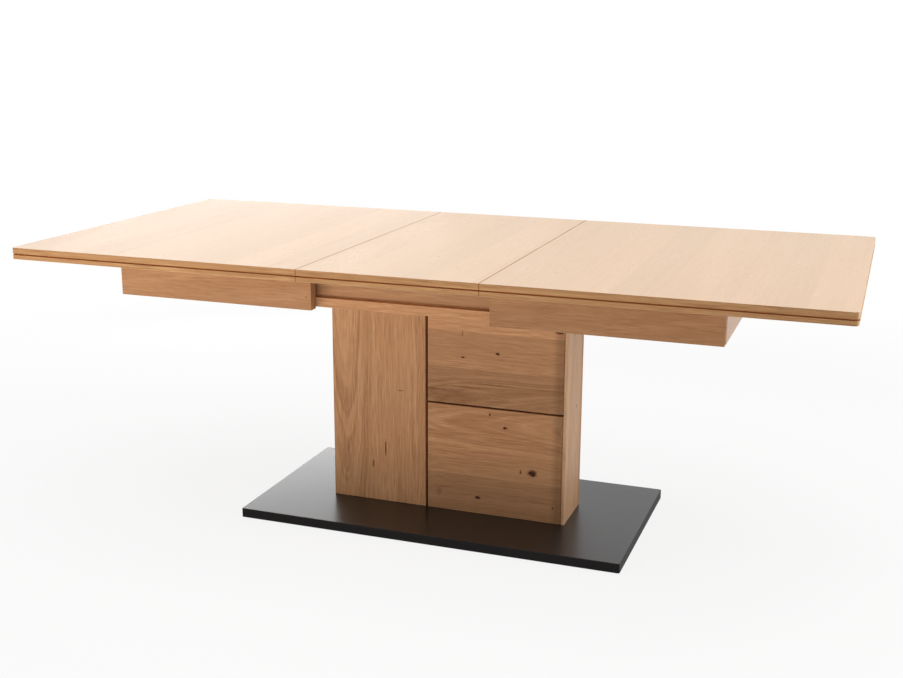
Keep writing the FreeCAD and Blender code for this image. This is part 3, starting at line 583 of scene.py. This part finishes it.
# Tabletop: the two halves and the loose leaf, each an upper and an under board of oiled oak.
# The staves run across the table, and a dark rebate between the boards draws a line round the edge.
STAVE_WIDTH = 0.105
STAVE_CONTRAST = 0.03
SEAM = 0.230
REBATE_DEPTH = 0.005
REBATE_HEIGHT = 0.743
REBATE_OAK = (0.500, 0.215, 0.080, 1.0)
EDGE_PALE = (0.560, 0.300, 0.125, 1.0)
EDGE_DEEP = (0.290, 0.125, 0.042, 1.0)
# The top's oak is paler than that of its edges and the column: its own colour with a painted sheen.
TOP_PALE_AND_SHEEN = (0.702, 0.474, 0.293, 1.0)
TOP_DEEP_AND_SHEEN = (0.560, 0.353, 0.199, 1.0)
half_length = built_high.x
half_width = built_high.y


def top_staves(start, end):
    """Staves of about one width between two ends, in slightly different tones."""
    count = round((end - start) / STAVE_WIDTH)
    width = (end - start) / count
    edges = [start + number * width for number in range(count)]
    return [(edge, 1.0 + STAVE_CONTRAST * math.sin(2.4 * number), edge + 0.9 * math.sin(5.1 * number))
            for number, edge in enumerate(edges)]


def dark_lines(x, y, z):
    """Where the seam lines beside the leaf are, dark with oil and with painted shade of the gap, and the bare
    wood in the rebate between the boards.
    """
    seam_and_shade = ramp(abs(abs(x) - SEAM), 0.0006, 0.0020, 1.0, 0.0)
    in_rebate = (abs(y) > half_width - 1.1 * REBATE_DEPTH).math("MAXIMUM",
                                                                abs(x) > half_length - 1.1 * REBATE_DEPTH)
    return seam_and_shade, ramp(abs(z - REBATE_HEIGHT), 0.0018, 0.0026, 1.0, 0.0) * in_rebate


top_lipping = {"pale": EDGE_PALE, "deep": EDGE_DEEP, "tone": 0.82, "heart": 0.30, "figure": 1.3,
               "rebate": REBATE_OAK, "lines": dark_lines}
top_oak = oak("tabletop_oak", crosswise, top_staves(-half_length, half_length), pale=TOP_PALE_AND_SHEEN, deep=TOP_DEEP_AND_SHEEN,
              sheen=0.22, gloss=0.5, figure=0.6, wander=0.008, taper=0.010, relief=0.012, speckle=0.012,
              seed=33.0, lipping=top_lipping)
for piece in ("left", "leaf", "right"):
    dress(top_oak, f"{piece}_top_board", f"{piece}_under_board")


# Floor and light: a plain white floor that keeps the table's shadow, in a white room.
# A broad lamp hangs overhead, a bank stands behind on the left with a low lamp before it, and two fill
# lamps that no surface mirrors light the right end and, from the floor, the front.
FLOOR_HALF = 14.0
FLOOR_WHITE = (0.80, 0.80, 0.80, 1.0)
WHITE = (1.0, 1.0, 1.0, 1.0)
SHADOW_SHARE = 0.14
SHADOW_REACH = (1.6, 3.4)
ROOM_LIGHT = 0.25
GLOSSY_RAY = 3
TRANSMISSION_RAY = 6
BANK_SHEETS = 5

bpy.ops.object.select_all(action="DESELECT")
bpy.ops.mesh.primitive_plane_add(size=2.0 * FLOOR_HALF, location=(0.0, 0.0, built_low.z))
floor = bpy.context.object
floor.name = "floor"
pale_floor, shader, place = new_finish("pale_floor")
feed(shader, {"Base Color": FLOOR_WHITE, "Roughness": 0.9, "Specular IOR Level": 0.0})


def looked_at(sight):
    """1 for a ray from the camera, and for one that a shiny or clear surface sends on, and 0 for light."""
    return sight.math("MAXIMUM", sight.output(GLOSSY_RAY)).math("MAXIMUM", sight.output(TRANSMISSION_RAY))


seen = looked_at(place.node("ShaderNodeLightPath"))
away = place.node("ShaderNodeVectorMath", {"operation": "LENGTH"}, {0: place}, output=1)
shadow = ramp(away, *SHADOW_REACH, SHADOW_SHARE, 0.0)
glow = place.node("ShaderNodeEmission", None, {"Color": WHITE, "Strength": 1.0})
surface = place.node("ShaderNodeMixShader", None,
                     {0: seen * (1.0 - shadow), 1: Paint(shader.outputs[0]), 2: glow})
floor_nodes = pale_floor.node_tree
floor_nodes.links.new(surface.socket, floor_nodes.nodes["Material Output"].inputs["Surface"])
floor.data.materials.append(pale_floor)

world = bpy.data.worlds.new("white_room")
bpy.context.scene.world = world
world.use_nodes = True
backdrop = world.node_tree.nodes["Background"]
seen = looked_at(Paint(world.node_tree.nodes.new("ShaderNodeLightPath").outputs["Is Camera Ray"]))
strength = ROOM_LIGHT + seen * (1.0 - ROOM_LIGHT)
backdrop.inputs["Color"].default_value = WHITE
world.node_tree.links.new(strength.socket, backdrop.inputs["Strength"])


def soft_lamp(name, place, width, height, brightness, aim=(0.0, 0.0, 0.5), mirrored=True):
    """Rectangular lamp of an even brightness, where 1 is white, turned towards a point.

    One that isn't mirrored only fills the shade, and leaves no glare on the oiled top or the lacquer.
    """
    light = bpy.data.lights.new(name, "AREA")
    light.shape = "RECTANGLE"
    light.size = width
    light.size_y = height
    light.energy = brightness * math.pi * width * height
    lamp = bpy.data.objects.new(name, light)
    lamp.location = place
    lamp.rotation_euler = (Vector(aim) - Vector(place)).to_track_quat("-Z", "Y").to_euler()
    lamp.visible_glossy = mirrored
    bpy.context.scene.collection.objects.link(lamp)


soft_lamp("overhead_lamp", (0.0, -0.2, 3.2), 5.0, 4.0, 1.70, aim=(0.0, -0.2, 0.0))
soft_lamp("low_rear_lamp", (-1.7, 2.0, 0.62), 1.8, 0.55, 3.2, aim=(-0.3, 0.0, 0.3))
for number in range(BANK_SHEETS):
    soft_lamp(f"left_rear_lamp_{number}", (-3.0 - 0.45 * number, 4.4 - 0.35 * number, 1.7), 4.2, 2.6, 0.116)
soft_lamp("right_lamp", (3.4, -0.2, 1.1), 2.4, 2.0, 3.0, mirrored=False)
soft_lamp("front_floor_lamp", (-0.9, -1.9, 0.14), 2.4, 1.2, 6.4, aim=(-0.8, -1.55, 2.4), mirrored=False)


# Camera: at standing height in front and to the right, looking a little down.
# It was fitted to the corners, seams, column and base plate of the table at its real size.
PICTURE_WIDTH = 903
FOCAL_PIXELS = 1247.24
SENSOR = 36.0
STAND = (1.10925, -3.10917, 1.32655)
TURN = 0.3471
TILT = 0.2476
ROLL = 0.0041

bpy.context.scene.view_settings.view_transform = "Standard"
eye = bpy.data.cameras.new("camera")
eye.sensor_width = SENSOR
eye.sensor_fit = "HORIZONTAL"
eye.lens = FOCAL_PIXELS * SENSOR / PICTURE_WIDTH
camera = bpy.data.objects.new("camera", eye)
camera.matrix_world = (Matrix.Translation(STAND) @ Matrix.Rotation(TURN, 4, "Z")
                       @ Matrix.Rotation(math.pi / 2 - TILT, 4, "X") @ Matrix.Rotation(ROLL, 4, "Z"))
bpy.context.scene.collection.objects.link(camera)
bpy.context.scene.camera = camera
